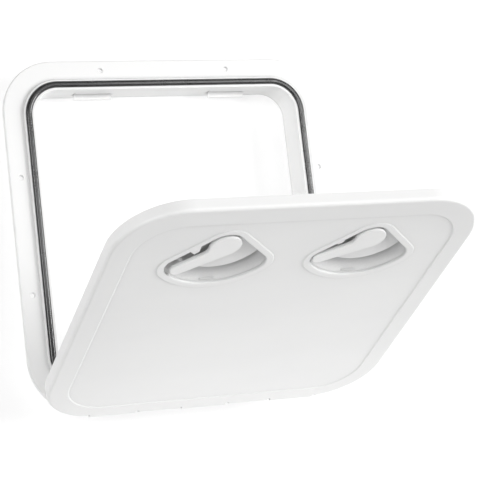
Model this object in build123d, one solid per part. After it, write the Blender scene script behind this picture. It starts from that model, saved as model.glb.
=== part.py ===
from build123d import *
import os
from math import sqrt

# A deck hatch: a moulded frame that sits in a deck cut-out, a lid on three pinned hinge
# stations, and two turning handles whose cams close under ledges on the frame.
# Millimetres. Origin at the centre of the cut-out, in the deck plane, which is the underside of
# the flange. +Z out of the deck, +Y towards the latch side, the hinge along X at the -Y side.
# The lid and all that it carries are drawn closed, then turned open about the hinge.

# Frame
FLANGE_HALF_X = 185.0
FLANGE_HALF_Y = 187.5
FLANGE_CORNER = 57.5
FLANGE_THICKNESS = 4.0
FLANGE_EDGE = 1.6
COAMING_DEPTH = 32.0
COAMING_THICKNESS = 3.0
COAMING_EDGE = 1.0

# Seal: every ring of the frame and lid that follows it is an offset of this centreline
SEAL_HALF_X = 158.0
SEAL_HALF_Y = 161.3
SEAL_CORNER = 34.0
CHANNEL_HALF_WIDTH = 3.5
RIDGE_WIDTH = 1.5
RIDGE_HEIGHT = 2.5
RIDGE_DRAFT = 25.0
RIDGE_FOOT = 1.2
INNER_RIDGE_WIDTH = 2.5
GASKET_SIDE_GAP = 0.2
GASKET_BASE_HEIGHT = 2.4
GASKET_BULB_HALF_WIDTH = 2.6
GASKET_TOP = 8.2
GASKET_ROUNDING = 1.7

# Screw holes in the flange
SCREW_HOLE_RADIUS = 2.5
SCREW_SINK_RADIUS = 3.1
LATCH_HOLES = (73.0, 176.5)
HINGE_HOLES = (51.0, -176.5)
SIDE_HOLES = (172.5, 62.3)

# Strike ledges on the latch side of the coaming
LEDGE_CENTRE_X = 78.0
LEDGE_LENGTH = 42.0
LEDGE_REACH = 6.0
LEDGE_TOP = -16.0
LEDGE_THICKNESS = 4.0
LEDGE_EDGE = 1.0
SLOT_WIDTH = 1.4
SLOT_HEIGHT = 12.0

# Hinge
HINGE_Y = -182.5
HINGE_Z = 9.4
STATION_SPACING = 102.0
LUG_LENGTH = 50.0
LUG_RADIUS = 5.0
LUG_EDGE = 0.8
CHEEK_THICKNESS = 3.0
CHEEK_RADIUS = 4.0
CHEEK_GAP = 0.3
NOTCH_RADIUS = 4.4
PIN_RADIUS = 2.0
PIN_CLEARANCE = 0.05
LID_OPEN_ANGLE = 66.3

# Lid
LID_HALF_X = 185.0
LID_HALF_Y = 187.5
LID_CORNER = 65.5
LID_BOTTOM = 6.8
LID_TOP = 19.6
LID_EDGE = 3.4
SKIRT_THICKNESS = 3.0
SKIN_THICKNESS = 2.5
FIELD_DEPTH = 0.7
FIELD_HALF_X = 162.5
FIELD_HALF_Y = 164.3
FIELD_CENTRE_Y = -2.2
FIELD_CORNER = 45.0
FIELD_SLOPE = 60.0
SEAL_RIB_HALF_WIDTH = 1.2
SEAL_RIB_GAP = 0.1
RIB_THICKNESS = 1.8
RIB_BOTTOM = 11.6
LONG_RIBS_Y = (-125.0, -85.0, -45.0, -5.0, 35.0)
CROSS_RIBS_X = (-120.0, -73.0, -25.0, 25.0, 73.0, 120.0)

# Handle pockets in the lid
POCKET_X = 73.7
POCKET_Y = 127.4
POCKET_APEX = 17.3
POCKET_RADIUS = 62.0
POCKET_CORNER = 14.0
POCKET_BORDER = 7.8
POCKET_WALL = 2.2
POCKET_LIP = 1.8
SCOOP_RIM = 2.4
PLATFORM_RADIUS = 42.5
PLATFORM_DEPTH = 5.0
PLATFORM_SKIN = 2.5
SCOOP_FLOOR = 7.8
SCOOP_SLOPE = ((1.5, 2.2), (5.5, 0.0), (10.5, 2.6), (15.5, 6.8))
BAR_LENGTH = 14.0
BAR_WIDTH = 1.2
BAR_HEIGHT = 1.0
BAR_DISTANCE = 59.2
BAR_FOOT = 14.6
POCKET_BOTTOM = 4.6
BOSS_RADIUS = 10.0
BOSS_BOTTOM = -14.0
WALL_ANGLE = 225.0
WEB_ANGLES = (225.0, 270.0, 315.0)
STOP_START = 21.3
STOP_END = 27.2
STOP_SLOPE = 0.85
STOP_REACH = {"left": 5.2, "right": 1.2}
STOP_THICKNESS = 3.0
STOP_EDGE = 0.6

# Handles and what turns with them
HANDLE_ANGLE = {"left": 213.8, "right": 204.8}
HANDLE_TOP = 20.4
HANDLE_THICKNESS = 3.2
HANDLE_HEAD = 15.4
HANDLE_TIP = 7.0
HANDLE_TIP_ALONG = 50.7
HANDLE_TIP_ASIDE = 9.2
STEM_EDGE_TILT = 6.0
STEM_ROOT_FILLET = 9.0
HANDLE_TOP_EDGE = 0.9
HUB_RADIUS = 13.0
SPINDLE_RADIUS = 5.0
SQUARE_SIDE = 8.0
CAM_ANGLE_FROM_HANDLE = -204.8
CAM_REACH = 26.4
CAM_TIP = 6.0
CAM_HUB_RADIUS = 9.0
CAM_THICKNESS = 5.0
CAM_GAP = 0.05
WASHER_THICKNESS = 0.8
BUSH_WALL = 2.45
BUSH_FLANGE = 1.5
RUNNING_CLEARANCE = 0.05
O_RING_SECTION = 0.9
O_RING_SQUEEZE = 0.01
GROOVE_DEPTH = 1.35
CAM_WASHER_RADIUS = 7.0
CAM_WASHER_THICKNESS = 1.0
SCREW_RADIUS = 2.5
SCREW_HEAD_RADIUS = 4.5
SCREW_HEAD_HEIGHT = 2.8
SCREW_SOCKET_RADIUS = 1.8
SCREW_SOCKET_DEPTH = 1.7
SCREW_HEAD_EDGE = 0.6
SCREW_DEPTH = 12.0

SIDES = {"left": -1.0, "right": 1.0}
TALL = 200.0
OVERLAP = 0.2
MARGIN = 1.0
SAME_PLACE = 0.05
WALL_INSET = CHANNEL_HALF_WIDTH + INNER_RIDGE_WIDTH
FIELD_TOP = LID_TOP - FIELD_DEPTH
SKIN_BOTTOM = FIELD_TOP - SKIN_THICKNESS
PLATFORM_TOP = FIELD_TOP - PLATFORM_DEPTH
LEDGE_BOTTOM = LEDGE_TOP - LEDGE_THICKNESS
CAM_TOP = LEDGE_BOTTOM - CAM_GAP
CAM_BOTTOM = CAM_TOP - CAM_THICKNESS
WASHER_TOP = PLATFORM_TOP + WASHER_THICKNESS
HUB_BOTTOM = WASHER_TOP + RUNNING_CLEARANCE
HANDLE_BOTTOM = HANDLE_TOP - HANDLE_THICKNESS
BUSH_INNER = SPINDLE_RADIUS + RUNNING_CLEARANCE
BUSH_OUTER = BUSH_INNER + BUSH_WALL
BUSH_END = BOSS_BOTTOM - BUSH_FLANGE
CAM_HUB_TOP = BUSH_END - RUNNING_CLEARANCE
GROOVE_TOP = PLATFORM_TOP - PLATFORM_SKIN
GROOVE_RADIUS = SPINDLE_RADIUS - GROOVE_DEPTH
DRIVE_SIDE = SQUARE_SIDE + 2 * RUNNING_CLEARANCE
STATIONS = {"1": -STATION_SPACING, "2": 0.0, "3": STATION_SPACING}
HINGE = Axis((0, HINGE_Y, HINGE_Z), (1, 0, 0))


def plate(half_x, half_y, corner, bottom, top, centre_y=0.0, taper=0.0):
    """A rounded rectangular slab between two heights."""
    outline = RectangleRounded(2 * half_x, 2 * half_y, corner)
    return Pos(0, centre_y, bottom) * extrude(outline, top - bottom, taper=taper)


def seal_plate(offset_out, bottom, top, taper=0.0):
    """A slab whose outline is the seal's centreline moved outwards."""
    return plate(SEAL_HALF_X + offset_out, SEAL_HALF_Y + offset_out, SEAL_CORNER + offset_out,
                 bottom, top, taper=taper)


def seal_ring(inner, outer, bottom, top):
    """A ring along the seal between two offsets of its centreline."""
    return seal_plate(outer, bottom, top) - seal_plate(inner, bottom, top)


def box_between(low, high):
    """A box from its lowest to its highest corner."""
    size = [b - a for a, b in zip(low, high)]
    centre = [(a + b) / 2 for a, b in zip(low, high)]
    return Pos(*centre) * Box(*size)


def rod(radius, bottom, top):
    """An upright cylinder on the Z axis."""
    return Pos(0, 0, bottom) * extrude(Circle(radius), top - bottom)


def hinge_rod(radius, start, end):
    """A cylinder on the hinge axis between two X positions."""
    on_axis = Plane(origin=(start, HINGE_Y, HINGE_Z), x_dir=(0, 1, 0), z_dir=(1, 0, 0))
    return on_axis * extrude(Circle(radius), end - start)


def opened(closed_part):
    """Turn a part of the lid from closed to the open rest position."""
    return closed_part.rotate(HINGE, LID_OPEN_ANGLE)


def make_flange():
    flange = plate(FLANGE_HALF_X, FLANGE_HALF_Y, FLANGE_CORNER, 0, FLANGE_THICKNESS)
    return fillet(flange.edges().group_by(Axis.Z)[-1], FLANGE_EDGE)


def make_ridges():
    """The raised walls on both sides of the seal channel, on top of the flange."""
    top = FLANGE_THICKNESS + RIDGE_HEIGHT
    outer = CHANNEL_HALF_WIDTH + RIDGE_WIDTH
    drafted = seal_plate(outer + RIDGE_FOOT, FLANGE_THICKNESS - OVERLAP, top, taper=RIDGE_DRAFT)
    walls = drafted - seal_plate(-WALL_INSET, -TALL, TALL)
    return walls - seal_ring(-CHANNEL_HALF_WIDTH, CHANNEL_HALF_WIDTH, FLANGE_THICKNESS, TALL)


def make_coaming():
    wall = seal_ring(-WALL_INSET, COAMING_THICKNESS - WALL_INSET, -COAMING_DEPTH, OVERLAP)
    return fillet(wall.edges().group_by(Axis.Z)[0], COAMING_EDGE)


def make_ledge(centre_x):
    wall_y = SEAL_HALF_Y - WALL_INSET
    low = (centre_x - LEDGE_LENGTH / 2, wall_y - LEDGE_REACH, LEDGE_BOTTOM)
    high = (centre_x + LEDGE_LENGTH / 2, wall_y + OVERLAP, LEDGE_TOP)
    ledge = box_between(low, high)
    return fillet(ledge.edges().filter_by(Axis.X).group_by(Axis.Y)[0], LEDGE_EDGE)


def make_ledge_slot(centre_x):
    """The relief slot through the coaming beside the end of a ledge."""
    end = centre_x - LEDGE_LENGTH / 2
    wall_y = SEAL_HALF_Y - WALL_INSET
    low = (end - SLOT_WIDTH, wall_y - MARGIN, LEDGE_BOTTOM)
    high = (end, wall_y + COAMING_THICKNESS + MARGIN, LEDGE_BOTTOM + SLOT_HEIGHT)
    return box_between(low, high)


def make_cheek(start):
    """One upright cheek that holds the end of a hinge pin."""
    low = (start, HINGE_Y - CHEEK_RADIUS, FLANGE_THICKNESS - OVERLAP)
    high = (start + CHEEK_THICKNESS, HINGE_Y + CHEEK_RADIUS, HINGE_Z)
    return box_between(low, high) + hinge_rod(CHEEK_RADIUS, start, start + CHEEK_THICKNESS)


def screw_positions():
    both = (-1, 1)
    latch = [(side * LATCH_HOLES[0], LATCH_HOLES[1]) for side in both]
    hinge = [(side * HINGE_HOLES[0], HINGE_HOLES[1]) for side in both]
    sides = [(x * SIDE_HOLES[0], y * SIDE_HOLES[1]) for x in both for y in both]
    return latch + hinge + sides


def make_screw_hole():
    sink_depth = SCREW_SINK_RADIUS - SCREW_HOLE_RADIUS
    sink = Cone(SCREW_HOLE_RADIUS, SCREW_SINK_RADIUS, sink_depth)
    return rod(SCREW_HOLE_RADIUS, -MARGIN, TALL) + Pos(0, 0, FLANGE_THICKNESS - sink_depth / 2) * sink


def make_frame():
    frame = make_flange() - seal_plate(-WALL_INSET, -TALL, TALL)
    frame += make_ridges()
    frame += make_coaming()
    for centre_x in (-LEDGE_CENTRE_X, LEDGE_CENTRE_X):
        frame += make_ledge(centre_x)
        frame -= make_ledge_slot(centre_x)
    for station in STATIONS.values():
        first = station - LUG_LENGTH / 2 - CHEEK_GAP - CHEEK_THICKNESS
        second = station + LUG_LENGTH / 2 + CHEEK_GAP
        frame += make_cheek(first) + make_cheek(second)
        frame -= hinge_rod(PIN_RADIUS, first, second + CHEEK_THICKNESS)
    for x, y in screw_positions():
        frame -= Pos(x, y, 0) * make_screw_hole()
    return frame


def make_gasket():
    half_width = CHANNEL_HALF_WIDTH - GASKET_SIDE_GAP
    base_top = FLANGE_THICKNESS + GASKET_BASE_HEIGHT
    base = seal_ring(-half_width, half_width, FLANGE_THICKNESS, base_top)
    bulb = seal_ring(-GASKET_BULB_HALF_WIDTH, GASKET_BULB_HALF_WIDTH, base_top - OVERLAP, GASKET_TOP)
    return base + fillet(bulb.edges().group_by(Axis.Z)[-1], GASKET_ROUNDING)


def make_hinge_pin(station):
    half = LUG_LENGTH / 2 + CHEEK_GAP + CHEEK_THICKNESS
    return hinge_rod(PIN_RADIUS, station - half, station + half)


def pocket_outline():
    """A quarter sector about the spindle, rounded at its apex and corners, open towards -Y."""
    apex_y = POCKET_APEX * sqrt(2)
    wide = 2 * POCKET_RADIUS
    wedge = make_face(Polyline((0, apex_y), (-wide, apex_y - wide), (wide, apex_y - wide), close=True))
    apex = wedge.vertices().sort_by(Axis.Y)[-1]
    sector = fillet(apex, POCKET_APEX) & Circle(POCKET_RADIUS)
    corners = [v for v in sector.vertices() if abs(Vector(v.X, v.Y).length - POCKET_RADIUS) < SAME_PLACE]
    return fillet(corners, POCKET_CORNER)


def pocket_places():
    return {side: Pos(sign * POCKET_X, POCKET_Y, 0) for side, sign in SIDES.items()}


def make_scoop():
    """The finger scoop: a trough round the spindle that runs up to the lid's face."""
    start = (PLATFORM_RADIUS, PLATFORM_TOP)
    end = (POCKET_RADIUS + OVERLAP, LID_TOP - SCOOP_RIM)
    slope = [(PLATFORM_RADIUS + out, SCOOP_FLOOR + up) for out, up in SCOOP_SLOPE]
    floor = Spline(start, *slope, end)
    roof = Polyline(end, (end[0], TALL), (start[0], TALL), start)
    profile = make_face(Plane.XZ * (floor + roof))
    return revolve(profile, Axis.Z)


def make_cavity():
    """The space inside a pocket: a shallow platform round the spindle, and the scoop beyond it."""
    bottom = SCOOP_FLOOR - MARGIN
    top = LID_TOP + MARGIN
    column = Pos(0, 0, bottom) * extrude(pocket_outline(), top - bottom)
    platform = column & rod(PLATFORM_RADIUS + OVERLAP, PLATFORM_TOP, top)
    return platform + (column & make_scoop())


def make_pocket_shell():
    """The pocket's body below the lid's skin, hollow under the platform, with the spindle boss."""
    outline = offset(pocket_outline(), POCKET_WALL)
    shell = Pos(0, 0, POCKET_BOTTOM) * extrude(outline, SKIN_BOTTOM + OVERLAP - POCKET_BOTTOM)
    hollow_radius = PLATFORM_RADIUS - POCKET_WALL
    hollow = (pocket_outline() & Circle(hollow_radius)) - Circle(BOSS_RADIUS)
    hollow_top = PLATFORM_TOP - PLATFORM_SKIN
    shell -= Pos(0, 0, POCKET_BOTTOM) * extrude(hollow, hollow_top - POCKET_BOTTOM)
    for angle in WEB_ANGLES:
        web = box_between((0, -RIB_THICKNESS / 2, POCKET_BOTTOM),
                          (hollow_radius + OVERLAP, RIB_THICKNESS / 2, hollow_top + OVERLAP))
        shell += Rot(0, 0, angle) * web
    return shell + rod(BOSS_RADIUS, BOSS_BOTTOM, hollow_top + OVERLAP)


def make_stop(side):
    """The stop tab on the pocket's left wall, with a slanted side towards the spindle."""
    root = POCKET_APEX + POCKET_WALL
    nose = POCKET_APEX - STOP_REACH[side]
    outline = Polyline((STOP_START - STOP_SLOPE * (root - nose), -root), (STOP_START, -nose),
                       (STOP_END, -nose), (STOP_END, -root), close=True)
    tab = Pos(0, 0, LID_TOP - STOP_THICKNESS) * extrude(make_face(outline), STOP_THICKNESS)
    tab = fillet(tab.edges().filter_by(Axis.Z).group_by(Axis.Y)[-1], STOP_EDGE)
    return Rot(0, 0, WALL_ANGLE) * tab


def make_bar():
    """A small plain grip bar on the scoop's slope, close to its rim."""
    bar = RectangleRounded(BAR_LENGTH, BAR_WIDTH, BAR_WIDTH / 2 - OVERLAP / 2)
    top = LID_TOP - SCOOP_RIM - BAR_HEIGHT / 2
    return Pos(0, -BAR_DISTANCE, BAR_FOOT) * extrude(bar, top - BAR_FOOT)


def make_lid_shell():
    """The lid's skin and skirt, with the recessed field and its raised pocket borders."""
    shell = plate(LID_HALF_X, LID_HALF_Y, LID_CORNER, LID_BOTTOM, LID_TOP)
    shell = fillet(shell.edges().group_by(Axis.Z)[-1], LID_EDGE)
    inside = SKIRT_THICKNESS
    shell -= plate(LID_HALF_X - inside, LID_HALF_Y - inside, LID_CORNER - inside, 0, SKIN_BOTTOM)
    field = plate(FIELD_HALF_X, FIELD_HALF_Y, FIELD_CORNER, FIELD_TOP, LID_TOP + OVERLAP,
                  centre_y=FIELD_CENTRE_Y, taper=-FIELD_SLOPE)
    border = offset(pocket_outline(), POCKET_BORDER)
    border = extrude(border, LID_TOP - FIELD_TOP + OVERLAP, taper=FIELD_SLOPE)
    for place in pocket_places().values():
        field -= place * Pos(0, 0, FIELD_TOP) * border
    return shell - field


def make_lid_ribs():
    """The sealing rib that lands on the gasket and the stiffening ribs inside it."""
    rib_top = SKIN_BOTTOM + OVERLAP
    ribs = seal_ring(-SEAL_RIB_HALF_WIDTH, SEAL_RIB_HALF_WIDTH, GASKET_TOP + SEAL_RIB_GAP, rib_top)
    half = RIB_THICKNESS / 2
    grid = Part()
    for y in LONG_RIBS_Y:
        grid += box_between((-SEAL_HALF_X, y - half, RIB_BOTTOM), (SEAL_HALF_X, y + half, rib_top))
    for x in CROSS_RIBS_X:
        grid += box_between((x - half, -SEAL_HALF_Y, RIB_BOTTOM), (x + half, SEAL_HALF_Y, rib_top))
    return ribs + (grid & seal_plate(0, RIB_BOTTOM, rib_top))


def make_lug(station):
    """A squared hinge lug: round about the pin below it, full to the lid's outline above it."""
    start = station - LUG_LENGTH / 2
    end = station + LUG_LENGTH / 2
    block = box_between((start, HINGE_Y - LUG_RADIUS, HINGE_Z), (end, HINGE_Y + LUG_RADIUS, LID_TOP))
    corner = block.edges().filter_by(Axis.X).group_by(Axis.Y)[0].group_by(Axis.Z)[-1]
    return fillet(corner, LUG_EDGE) + hinge_rod(LUG_RADIUS, start, end)


def make_notch(start, end):
    """The gap beside a lug in which a cheek of the frame stands."""
    outside = box_between((start, HINGE_Y - TALL, 0), (end, HINGE_Y, TALL))
    beside = box_between((start, HINGE_Y - NOTCH_RADIUS, 0), (end, HINGE_Y + NOTCH_RADIUS, HINGE_Z))
    return outside + beside + hinge_rod(NOTCH_RADIUS, start, end)


def make_hinge_side_trim():
    """What is cut from the lid below and outboard of the hinge axis, so that it can swing."""
    corner = box_between((-TALL, HINGE_Y - TALL, 0), (TALL, HINGE_Y, HINGE_Z))
    return corner - hinge_rod(LUG_RADIUS, -TALL, TALL)


def pocket_lip(lid, place):
    """The edges where a pocket's mouth meets its raised border."""
    mouth = place * extrude(offset(pocket_outline(), POCKET_WALL / 2), TALL)
    level = [edge for edge in lid.edges() if edge.bounding_box().min.Z > LID_TOP - SAME_PLACE]
    return [edge for edge in level if mouth.is_inside(edge.position_at(0.5))]


def make_lid():
    lid = make_lid_shell() + make_lid_ribs()
    lid -= make_hinge_side_trim()
    for station in STATIONS.values():
        lid += make_lug(station)
    notch_width = CHEEK_THICKNESS + 2 * CHEEK_GAP
    for station in STATIONS.values():
        low_end = station - LUG_LENGTH / 2
        high_end = station + LUG_LENGTH / 2
        lid -= make_notch(low_end - notch_width, low_end)
        lid -= make_notch(high_end, high_end + notch_width)
        lid -= hinge_rod(PIN_RADIUS + PIN_CLEARANCE, low_end - notch_width, high_end + notch_width)
    for side, place in pocket_places().items():
        lid += place * make_pocket_shell()
        lid -= place * make_cavity()
        lid = fillet(pocket_lip(lid, place), POCKET_LIP)
        lid -= place * rod(BUSH_OUTER, BOSS_BOTTOM, TALL)
    return lid


def handle_outline():
    """Seen from outside, with the stem along +X: a round head and a stem that runs off to one side."""
    head = Circle(HANDLE_HEAD)
    tip = Pos(HANDLE_TIP_ALONG, HANDLE_TIP_ASIDE) * Circle(HANDLE_TIP)
    full = make_hull(head.edges() + tip.edges())
    edge = Pos(HANDLE_TIP_ALONG, HANDLE_TIP_ASIDE - HANDLE_TIP) * Rot(0, 0, STEM_EDGE_TILT)
    beyond = edge * Pos(0, -HANDLE_HEAD) * Rectangle(TALL, 2 * HANDLE_HEAD)
    outline = (full - beyond) + head
    roots = [v for v in outline.vertices()
             if abs(Vector(v.X, v.Y).length - HANDLE_HEAD) < SAME_PLACE and v.Y < 0 and v.X > 0]
    return fillet(roots, STEM_ROOT_FILLET)


def make_handle():
    lever = Pos(0, 0, HANDLE_BOTTOM) * extrude(handle_outline(), HANDLE_THICKNESS)
    lever = fillet(lever.edges().group_by(Axis.Z)[-1], HANDLE_TOP_EDGE)
    hub = rod(HUB_RADIUS, HUB_BOTTOM, HANDLE_BOTTOM + OVERLAP)
    spindle = rod(SPINDLE_RADIUS, CAM_HUB_TOP, HUB_BOTTOM + OVERLAP)
    section = Rectangle(SQUARE_SIDE, SQUARE_SIDE) & Circle(SPINDLE_RADIUS)
    square = Pos(0, 0, CAM_BOTTOM) * extrude(section, CAM_HUB_TOP + OVERLAP - CAM_BOTTOM)
    groove = rod(SPINDLE_RADIUS + MARGIN, GROOVE_TOP - 2 * O_RING_SECTION, GROOVE_TOP)
    groove -= rod(GROOVE_RADIUS, -TALL, TALL)
    handle = lever + hub + spindle + square - groove
    return handle - rod(SCREW_RADIUS, CAM_BOTTOM - MARGIN, CAM_BOTTOM + SCREW_DEPTH)


def make_o_ring():
    section = (BUSH_INNER - GROOVE_RADIUS) / 2 - O_RING_SQUEEZE
    return Pos(0, 0, GROOVE_TOP - O_RING_SECTION) * Torus((BUSH_INNER + GROOVE_RADIUS) / 2, section)


def make_spindle_bush():
    body = rod(BUSH_OUTER, BOSS_BOTTOM, PLATFORM_TOP)
    flange = rod(BOSS_RADIUS, BUSH_END, BOSS_BOTTOM)
    return body + flange - rod(BUSH_INNER, BUSH_END - MARGIN, TALL)


def make_thrust_washer():
    return rod(HUB_RADIUS, PLATFORM_TOP, WASHER_TOP) - rod(BUSH_INNER, -TALL, TALL)


def make_cam():
    hub = rod(CAM_HUB_RADIUS, CAM_TOP, CAM_HUB_TOP)
    tip = Pos(CAM_REACH - CAM_TIP, 0) * Circle(CAM_TIP)
    arm = make_hull(Circle(CAM_HUB_RADIUS).edges() + tip.edges())
    drive = Rectangle(DRIVE_SIDE, DRIVE_SIDE) & Circle(BUSH_INNER)
    drive = Rot(0, 0, -CAM_ANGLE_FROM_HANDLE) * drive
    cam = hub + Pos(0, 0, CAM_BOTTOM) * extrude(arm, CAM_THICKNESS)
    return cam - Pos(0, 0, CAM_BOTTOM - MARGIN) * extrude(drive, TALL)


def make_cam_washer():
    disc = rod(CAM_WASHER_RADIUS, CAM_BOTTOM - CAM_WASHER_THICKNESS, CAM_BOTTOM)
    return disc - rod(SCREW_RADIUS, -TALL, TALL)


def make_cam_screw():
    head_top = CAM_BOTTOM - CAM_WASHER_THICKNESS
    head_bottom = head_top - SCREW_HEAD_HEIGHT
    screw = rod(SCREW_HEAD_RADIUS, head_bottom, head_top)
    screw = fillet(screw.edges().group_by(Axis.Z)[0], SCREW_HEAD_EDGE)
    screw += rod(SCREW_RADIUS, head_top, CAM_BOTTOM + SCREW_DEPTH)
    socket = extrude(RegularPolygon(SCREW_SOCKET_RADIUS, 6), SCREW_SOCKET_DEPTH)
    return screw - Pos(0, 0, head_bottom) * socket


def latch_parts(side):
    """The pieces of one latch, closed lid position, about the Z axis."""
    turn = Rot(0, 0, HANDLE_ANGLE[side])
    return {
        "handle_" + side: turn * make_handle(),
        "o_ring_" + side: make_o_ring(),
        "spindle_bush_" + side: make_spindle_bush(),
        "thrust_washer_" + side: make_thrust_washer(),
        "cam_" + side: turn * Rot(0, 0, CAM_ANGLE_FROM_HANDLE) * make_cam(),
        "cam_washer_" + side: make_cam_washer(),
        "cam_screw_" + side: make_cam_screw(),
    }


def make_all():
    parts = {"frame": make_frame(), "gasket": make_gasket()}
    for number, station in STATIONS.items():
        parts["hinge_pin_" + number] = make_hinge_pin(station)
    lid = make_lid()
    places = pocket_places()
    for side, place in places.items():
        lid += place * make_stop(side)
        lid += place * make_bar()
    parts["lid"] = opened(lid)
    for side, place in places.items():
        for name, shape in latch_parts(side).items():
            parts[name] = opened(place * shape)
    return parts


os.makedirs("parts", exist_ok=True)
for node, shape in make_all().items():
    export_step(shape, "parts/" + node + ".step")
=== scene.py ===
import math

import bpy
from mathutils import Matrix, Vector


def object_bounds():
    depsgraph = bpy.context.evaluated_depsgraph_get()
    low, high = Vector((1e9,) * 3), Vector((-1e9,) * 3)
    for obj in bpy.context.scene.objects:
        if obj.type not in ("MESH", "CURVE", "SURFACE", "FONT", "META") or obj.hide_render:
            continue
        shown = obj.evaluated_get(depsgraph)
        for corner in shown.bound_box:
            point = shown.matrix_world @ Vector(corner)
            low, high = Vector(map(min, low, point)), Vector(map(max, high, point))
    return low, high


# The looks of a deck hatch: a white moulded frame with a black seal, a white lid that stands
# open on its hinge, and two turning handles. Metres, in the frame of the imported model.

MM = 0.001

# Camera
CAMERA_YAW = 23.21
CAMERA_PITCH = 8.19
CAMERA_ROLL = -6.60
CAMERA_PLACE = (-0.68897, -0.29221, 1.76636)
CAMERA_LENS = 133.0
SENSOR_WIDTH = 36.0

# Light and floor
WORLD_STRENGTH = 0.09
LIGHTS = (
    # name, place, target, size, power
    ("left_key", (-1.6, 0.2, 1.8), (0.0, 0.0, 0.15), 1.4, 38.0),
    ("right_key", (2.2, 0.0, 1.2), (0.0, 0.0, 0.15), 1.2, 68.0),
    ("top_gloss", (1.1, 0.4, 2.5), (0.0, 0.0, 0.15), 0.9, 12.0),
    ("front_fill", (0.3, -1.6, 0.6), (0.0, -0.1, 0.15), 1.2, 4.9),
)
LOW_PLACE = (0.05, -0.70, 0.10)
LOW_RADIUS = 0.25
LOW_POWER = 2.8
FLOOR_SIZE = 12.0
FLOOR_COLOUR = (0.45, 0.45, 0.45)
FLOOR_SHADE = 0.97
FLOOR_CLOUD = 0.4
FLOOR_ROUGHNESS = 0.9
FLOOR_GLOW = 0.60
GLOW_CENTRE = (0.105, 0.0, 0.0)
GLOW_RADIUS = 0.43
GLOW_END = 0.95

# Shared by the materials: the span that holds most values of a noise, and how the edge and
# recess tests look round them
MOST_NOISE = (0.3, 0.7)
FLAT_TO_EDGE = (1.0, 0.82)
EDGE_SAMPLES = 6
RECESS_SAMPLES = 8
TURNED_DEPTH = 0.01 * MM

# Places of the two colours and the result among the Mix node's sockets
MIX_COLOURS = (6, 7)
MIX_RESULT = 2

# White plastic
# Painted shade in recesses: the dark colour it mixes in, and the occlusion span from fully shaded to
# open
RECESS_SHADE_COLOUR = (0.22, 0.225, 0.23)
SHADED_TO_OPEN = (0.78, 0.98)
RUB_REACH = 0.7 * MM
RUB_AMOUNT = 0.45
RUB_LIFT = 1.03
RUB_SHINE = 0.10
FLOW_SIZE = 60 * MM
FLOW_STRETCH = (2.5, 1.0, 1.0)
FLOW_TONES = (0.35, 0.65)
FLOW_GLOSS = 0.03
FLOW_DEPTH = 0.10 * MM
SKIN_SHINY = 0.05
SKIN_DULL = 0.06
PLASTIC_IOR = 1.49
PLASTIC_GLOW = 0.06
PLASTIC_BLEED = (3.0 * MM, 3.0 * MM, 2.7 * MM)

# Rubber
BLOOM_SIZE = 9 * MM
BLOOM_EDGE = (0.45, 0.75)
BLOOM_AMOUNT = 0.6
BLOOM_SHINY = 0.04
BLOOM_DULL = 0.08
RUBBER_GRAIN = 0.5 * MM
RUBBER_DEPTH = 0.005 * MM
RUBBER_IOR = 1.75

# Steel
STEEL_DARK = (0.62, 0.62, 0.61)
STEEL_LIGHT = (0.74, 0.735, 0.72)
STEEL_MARKS = 0.12 * MM
STEEL_MARK_SPAN = (0.25, 0.75)
STEEL_ROUGHNESS = (0.20, 0.42)
STEEL_STAIN = 7 * MM

# Glass-filled nylon
FIBRE_SIZE = 0.35 * MM
FIBRE_STRETCH = (4.0, 1.0, 1.0)
FIBRE_EDGE = (0.5, 0.75)
FIBRE_AMOUNT = 0.7
PEBBLE_SIZE = 0.8 * MM
PEBBLE_SPAN = (0.0, 0.6)
PEBBLE_ROUGHNESS = (0.62, 0.48)
PEBBLE_DEPTH = 0.03 * MM
NYLON_RUB_REACH = 0.5 * MM
NYLON_RUB_SHINE = 0.15

# Acetal
ACETAL_DARK = (0.82, 0.81, 0.77)
ACETAL_LIGHT = (0.87, 0.855, 0.81)
ACETAL_RINGS = 0.3 * MM
RING_STRETCH = (6.0, 6.0, 1.0)
ACETAL_ROUGHNESS = (0.34, 0.48)
ACETAL_CLOUD = 6 * MM
ACETAL_GLOW = 0.15
ACETAL_BLEED = (2.0 * MM, 1.8 * MM, 1.4 * MM)


def node(tree, kind, inputs=None, **settings):
    """A shader node. An input given as a socket is linked, and any other value is set."""
    made = tree.nodes.new("ShaderNode" + kind)
    for name, value in settings.items():
        setattr(made, name, value)
    for name, value in (inputs or {}).items():
        if isinstance(value, bpy.types.NodeSocket):
            tree.links.new(value, made.inputs[name])
        else:
            made.inputs[name].default_value = value
    return made


def maths(tree, operation, first, second):
    """The result of one operation on two values."""
    made = node(tree, "Math", {0: first, 1: second}, operation=operation)
    return made.outputs[0]


def remap(tree, value, old, new):
    """The value stretched from the old range to the new one, and held inside it."""
    inputs = {
        "Value": value,
        "From Min": old[0],
        "From Max": old[1],
        "To Min": new[0],
        "To Max": new[1],
    }
    return node(tree, "MapRange", inputs).outputs["Result"]


def grain(tree, size, detail=2.0, roughness=0.5, stretch=(1.0, 1.0, 1.0)):
    """Noise from 0 to 1 whose lumps are about size across, drawn out along an axis by stretch."""
    place = node(tree, "TexCoord").outputs["Object"]
    scaled = node(tree, "Mapping", {"Vector": place, "Scale": [1.0 / s for s in stretch]})
    inputs = {
        "Vector": scaled.outputs["Vector"],
        "Scale": 1.0 / size,
        "Detail": detail,
        "Roughness": roughness,
    }
    return node(tree, "TexNoise", inputs).outputs["Fac"]


def pits(tree, size):
    """Distance to the nearest of many points about size apart, for a pebbled or speckled surface."""
    place = node(tree, "TexCoord").outputs["Object"]
    return node(tree, "TexVoronoi", {"Vector": place, "Scale": 1.0 / size}).outputs["Distance"]


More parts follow.
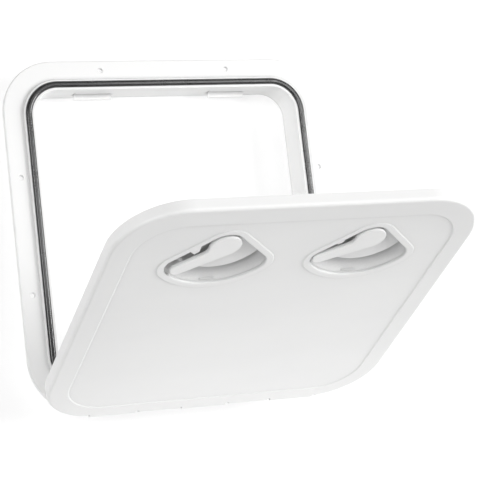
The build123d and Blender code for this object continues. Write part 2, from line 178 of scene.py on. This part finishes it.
def edges(tree, reach):
    """1 close to a convex or concave edge, and 0 on a flat."""
    rounded = node(tree, "Bevel", {"Radius": reach}, samples=EDGE_SAMPLES).outputs["Normal"]
    true = node(tree, "NewGeometry").outputs["Normal"]
    pair = {0: rounded, 1: true}
    along = node(tree, "VectorMath", pair, operation="DOT_PRODUCT").outputs["Value"]
    return remap(tree, along, FLAT_TO_EDGE, (0.0, 1.0))


def recesses(tree, reach):
    """1 on an open surface, falling towards 0 deep in a recess or corner."""
    return node(tree, "AmbientOcclusion", {"Distance": reach}, samples=RECESS_SAMPLES).outputs["AO"]


def mixed(tree, amount, first, second):
    """The first colour turning into the second as amount goes from 0 to 1."""
    made = node(tree, "Mix", {"Factor": amount}, data_type="RGBA")
    for index, value in zip(MIX_COLOURS, (first, second)):
        if isinstance(value, bpy.types.NodeSocket):
            tree.links.new(value, made.inputs[index])
        else:
            made.inputs[index].default_value = (*value, 1.0)
    return made.outputs[MIX_RESULT]


def bumped(tree, height, depth, normal=None):
    """A normal tilted by a height from 0 to 1 that stands for depth, on top of another normal."""
    inputs = {"Height": height, "Distance": depth, "Strength": 1.0}
    if normal is not None:
        inputs["Normal"] = normal
    return node(tree, "Bump", inputs).outputs["Normal"]


def new_material(name):
    """A new material with its node tree and its shader."""
    material = bpy.data.materials.new(name)
    material.use_nodes = True
    tree = material.node_tree
    return material, tree, tree.nodes["Principled BSDF"]


def apply(tree, shader, **values):
    """Sets or links the shader's inputs, with underscores for the spaces in their names."""
    for name, value in values.items():
        socket = shader.inputs[name.replace("_", " ")]
        if isinstance(value, bpy.types.NodeSocket):
            tree.links.new(value, socket)
        else:
            socket.default_value = value


def white_plastic(name, colour, shade, roughness, grain_size, grain_depth, recess_shade, reach):
    """Satin moulded plastic with a faint flow pattern, a fine skin grain and rubbed edges.

    Recesses are darkened with painted shade: recess_shade is its amount, and reach is how far off a
    wall the shade reaches.
    """
    material, tree, shader = new_material(name)
    flow = grain(tree, FLOW_SIZE, detail=3.0, stretch=FLOW_STRETCH)
    skin = grain(tree, grain_size, detail=4.0, roughness=0.6)
    rubbed = edges(tree, RUB_REACH)
    rubbed_colour = tuple(min(1.0, RUB_LIFT * c) for c in colour)
    # Painted shade: ambient occlusion darkens the colour towards a dark grey deep in recesses and
    # corners
    painted_shade = remap(tree, recesses(tree, reach), SHADED_TO_OPEN, (recess_shade, 0.0))
    tone = mixed(tree, remap(tree, flow, FLOW_TONES, (0.0, 1.0)), colour, shade)
    tone = mixed(tree, maths(tree, "MULTIPLY", rubbed, RUB_AMOUNT), tone, rubbed_colour)
    tone = mixed(tree, painted_shade, tone, RECESS_SHADE_COLOUR)
    rough = remap(tree, skin, MOST_NOISE, (roughness - SKIN_SHINY, roughness + SKIN_DULL))
    rough = maths(tree, "ADD", rough, remap(tree, flow, MOST_NOISE, (-FLOW_GLOSS, FLOW_GLOSS)))
    rough = maths(tree, "SUBTRACT", rough, maths(tree, "MULTIPLY", rubbed, RUB_SHINE))
    wave = bumped(tree, flow, FLOW_DEPTH)
    apply(tree, shader, Base_Color=tone, Roughness=rough, Normal=bumped(tree, skin, grain_depth, wave),
          IOR=PLASTIC_IOR, Subsurface_Weight=PLASTIC_GLOW, Subsurface_Radius=PLASTIC_BLEED,
          Subsurface_Scale=1.0)
    return material


def rubber(name, colour, bloomed, roughness):
    """Black rubber with a fine skin grain and patches of greyer bloom."""
    material, tree, shader = new_material(name)
    bloom = grain(tree, BLOOM_SIZE, detail=4.0)
    skin = grain(tree, RUBBER_GRAIN, detail=3.0)
    tone = mixed(tree, remap(tree, bloom, BLOOM_EDGE, (0.0, BLOOM_AMOUNT)), colour, bloomed)
    rough = remap(tree, bloom, MOST_NOISE, (roughness - BLOOM_SHINY, roughness + BLOOM_DULL))
    apply(tree, shader, Base_Color=tone, Roughness=rough, Normal=bumped(tree, skin, RUBBER_DEPTH),
          IOR=RUBBER_IOR)
    return material


def steel(name, stretch):
    """Stainless steel with fine marks, drawn out along an axis by stretch."""
    material, tree, shader = new_material(name)
    marks = grain(tree, STEEL_MARKS, detail=3.0, stretch=stretch)
    stain = grain(tree, STEEL_STAIN, detail=3.0)
    tone = mixed(tree, stain, STEEL_DARK, STEEL_LIGHT)
    rough = remap(tree, marks, STEEL_MARK_SPAN, STEEL_ROUGHNESS)
    apply(tree, shader, Base_Color=tone, Metallic=1.0, Roughness=rough,
          Normal=bumped(tree, marks, TURNED_DEPTH))
    return material


def speckled_nylon(name, colour, fleck):
    """Glass-filled nylon: off-white and matt, with short pale fibres and a pebbled skin."""
    material, tree, shader = new_material(name)
    fibres = grain(tree, FIBRE_SIZE, stretch=FIBRE_STRETCH)
    pebbles = pits(tree, PEBBLE_SIZE)
    rubbed = edges(tree, NYLON_RUB_REACH)
    tone = mixed(tree, remap(tree, fibres, FIBRE_EDGE, (0.0, FIBRE_AMOUNT)), colour, fleck)
    rough = remap(tree, pebbles, PEBBLE_SPAN, PEBBLE_ROUGHNESS)
    rough = maths(tree, "SUBTRACT", rough, maths(tree, "MULTIPLY", rubbed, NYLON_RUB_SHINE))
    apply(tree, shader, Base_Color=tone, Roughness=rough, Normal=bumped(tree, pebbles, PEBBLE_DEPTH))
    return material


def acetal(name):
    """Natural acetal: warm white, slightly waxy, with faint turning rings."""
    material, tree, shader = new_material(name)
    rings = grain(tree, ACETAL_RINGS, stretch=RING_STRETCH)
    cloud = grain(tree, ACETAL_CLOUD)
    tone = mixed(tree, cloud, ACETAL_DARK, ACETAL_LIGHT)
    rough = remap(tree, rings, MOST_NOISE, ACETAL_ROUGHNESS)
    apply(tree, shader, Base_Color=tone, Roughness=rough, Normal=bumped(tree, rings, TURNED_DEPTH),
          Subsurface_Weight=ACETAL_GLOW, Subsurface_Radius=ACETAL_BLEED, Subsurface_Scale=1.0)
    return material


def make_looks():
    """One material for each kind of piece."""
    # Each white plastic darkens its recesses with painted shade, by the amount and reach given below
    frame_plastic = white_plastic(
        "frame_plastic", colour=(0.83, 0.83, 0.826), shade=(0.82, 0.82, 0.817), roughness=0.36,
        grain_size=0.45 * MM, grain_depth=0.012 * MM, recess_shade=0.27, reach=4 * MM)
    lid_plastic = white_plastic(
        "lid_plastic", colour=(0.86, 0.86, 0.855), shade=(0.845, 0.845, 0.842), roughness=0.42,
        grain_size=0.55 * MM, grain_depth=0.022 * MM, recess_shade=0.40, reach=26 * MM)
    handle_plastic = white_plastic(
        "handle_plastic", colour=(0.88, 0.88, 0.875), shade=(0.87, 0.87, 0.865), roughness=0.33,
        grain_size=0.35 * MM, grain_depth=0.008 * MM, recess_shade=0.20, reach=20 * MM)
    gasket_rubber = rubber(
        "gasket_rubber", colour=(0.006, 0.006, 0.0065), bloomed=(0.016, 0.016, 0.016), roughness=0.22)
    seal_rubber = rubber(
        "seal_rubber", colour=(0.010, 0.010, 0.010), bloomed=(0.03, 0.03, 0.03), roughness=0.40)
    screw_steel = steel("screw_steel", stretch=(3.0, 3.0, 1.0))
    pin_steel = steel("pin_steel", stretch=(40.0, 1.0, 1.0))
    cam_plastic = speckled_nylon("cam_plastic", colour=(0.80, 0.795, 0.775), fleck=(0.88, 0.88, 0.87))
    bush_plastic = acetal("bush_plastic")
    return {
        "frame": frame_plastic,
        "lid": lid_plastic,
        "handle": handle_plastic,
        "gasket": gasket_rubber,
        "o_ring": seal_rubber,
        "hinge_pin": pin_steel,
        "cam_screw": screw_steel,
        "cam_washer": screw_steel,
        "cam": cam_plastic,
        "spindle_bush": bush_plastic,
        "thrust_washer": bush_plastic,
    }


def kind_of(name):
    """The name of a piece without its side or number."""
    start, _, end = name.rpartition("_")
    return start if end in ("left", "right") or end.isdigit() else name


def dress(nodes):
    """Gives every node the look of its kind."""
    looks = make_looks()
    for name, piece in nodes.items():
        piece.data.materials.clear()
        piece.data.materials.append(looks[kind_of(name)])


def make_camera():
    """The main view: a long lens from above, turned and tipped."""
    yaw, pitch, roll = (math.radians(a) for a in (CAMERA_YAW, CAMERA_PITCH, CAMERA_ROLL))
    flat = math.cos(pitch)
    back = Vector((-math.sin(yaw) * flat, -math.sin(pitch), math.cos(yaw) * flat))
    level = (-back).cross(Vector((0, 1, 0))).normalized()
    rise = level.cross(-back)
    right = math.cos(roll) * level + math.sin(roll) * rise
    up = math.cos(roll) * rise - math.sin(roll) * level
    camera = bpy.data.objects.new("camera", bpy.data.cameras.new("camera"))
    camera.data.lens = CAMERA_LENS
    camera.data.sensor_width = SENSOR_WIDTH
    turn = Matrix((right, up, back)).transposed().to_4x4()
    camera.matrix_world = Matrix.Translation(CAMERA_PLACE) @ turn
    bpy.context.collection.objects.link(camera)
    bpy.context.scene.camera = camera


def place_lamp(name, data, place):
    """A lamp that lights the scene and doesn't show itself."""
    lamp = bpy.data.objects.new(name, data)
    lamp.location = place
    lamp.visible_camera = False
    bpy.context.collection.objects.link(lamp)
    return lamp


def area_light(name, place, target, size, power):
    """A square soft light that faces the target."""
    data = bpy.data.lights.new(name, "AREA")
    data.shape = "SQUARE"
    data.size = size
    data.energy = power
    lamp = place_lamp(name, data, place)
    lamp.rotation_euler = (Vector(target) - Vector(place)).to_track_quat("-Z", "Y").to_euler()


def low_lamp():
    """A round soft lamp in front of the hatch that lifts the lower part of the open lid."""
    data = bpy.data.lights.new("low_fill", "POINT")
    data.shadow_soft_size = LOW_RADIUS
    data.energy = LOW_POWER
    place_lamp("low_fill", data, LOW_PLACE)


def make_lights():
    """The soft lights round the hatch, and the low lamp in front of it."""
    for light in LIGHTS:
        area_light(*light)
    low_lamp()


def make_world():
    """An even white surround, dim beside the lamps."""
    world = bpy.data.worlds.new("studio")
    world.use_nodes = True
    background = world.node_tree.nodes["Background"]
    background.inputs["Color"].default_value = (1.0, 1.0, 1.0, 1.0)
    background.inputs["Strength"].default_value = WORLD_STRENGTH
    bpy.context.scene.world = world


def make_floor(height):
    """A plain grey sheet with a round white glow under the hatch, as on a light table."""
    mesh = bpy.data.meshes.new("floor")
    half = FLOOR_SIZE / 2
    corners = [(x * half, y * half, height) for x, y in ((-1, -1), (1, -1), (1, 1), (-1, 1))]
    mesh.from_pydata(corners, [], [(0, 1, 2, 3)])
    floor = bpy.data.objects.new("floor", mesh)
    bpy.context.collection.objects.link(floor)
    material, tree, shader = new_material("floor")
    shade = tuple(FLOOR_SHADE * c for c in FLOOR_COLOUR)
    tone = mixed(tree, grain(tree, FLOOR_CLOUD), FLOOR_COLOUR, shade)
    place = node(tree, "TexCoord").outputs["Object"]
    flat = {0: place, 1: (1.0, 1.0, 0.0)}
    level = node(tree, "VectorMath", flat, operation="MULTIPLY").outputs["Vector"]
    pair = {0: level, 1: GLOW_CENTRE}
    away = node(tree, "VectorMath", pair, operation="DISTANCE").outputs["Value"]
    glow = remap(tree, away, (GLOW_RADIUS, GLOW_END), (FLOOR_GLOW, 0.0))
    apply(tree, shader, Base_Color=tone, Roughness=FLOOR_ROUGHNESS, Emission_Color=(1.0, 1.0, 1.0, 1.0),
          Emission_Strength=glow)
    mesh.materials.append(material)


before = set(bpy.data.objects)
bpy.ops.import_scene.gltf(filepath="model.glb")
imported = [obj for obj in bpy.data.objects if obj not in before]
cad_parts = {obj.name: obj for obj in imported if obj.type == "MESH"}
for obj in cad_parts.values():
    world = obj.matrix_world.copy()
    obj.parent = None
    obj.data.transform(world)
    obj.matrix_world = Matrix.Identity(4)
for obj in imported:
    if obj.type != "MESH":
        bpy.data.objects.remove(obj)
cad_low, cad_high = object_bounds()

dress(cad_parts)
make_camera()
make_world()
make_floor(cad_low.z)
make_lights()
bpy.context.scene.view_settings.view_transform = "Standard"
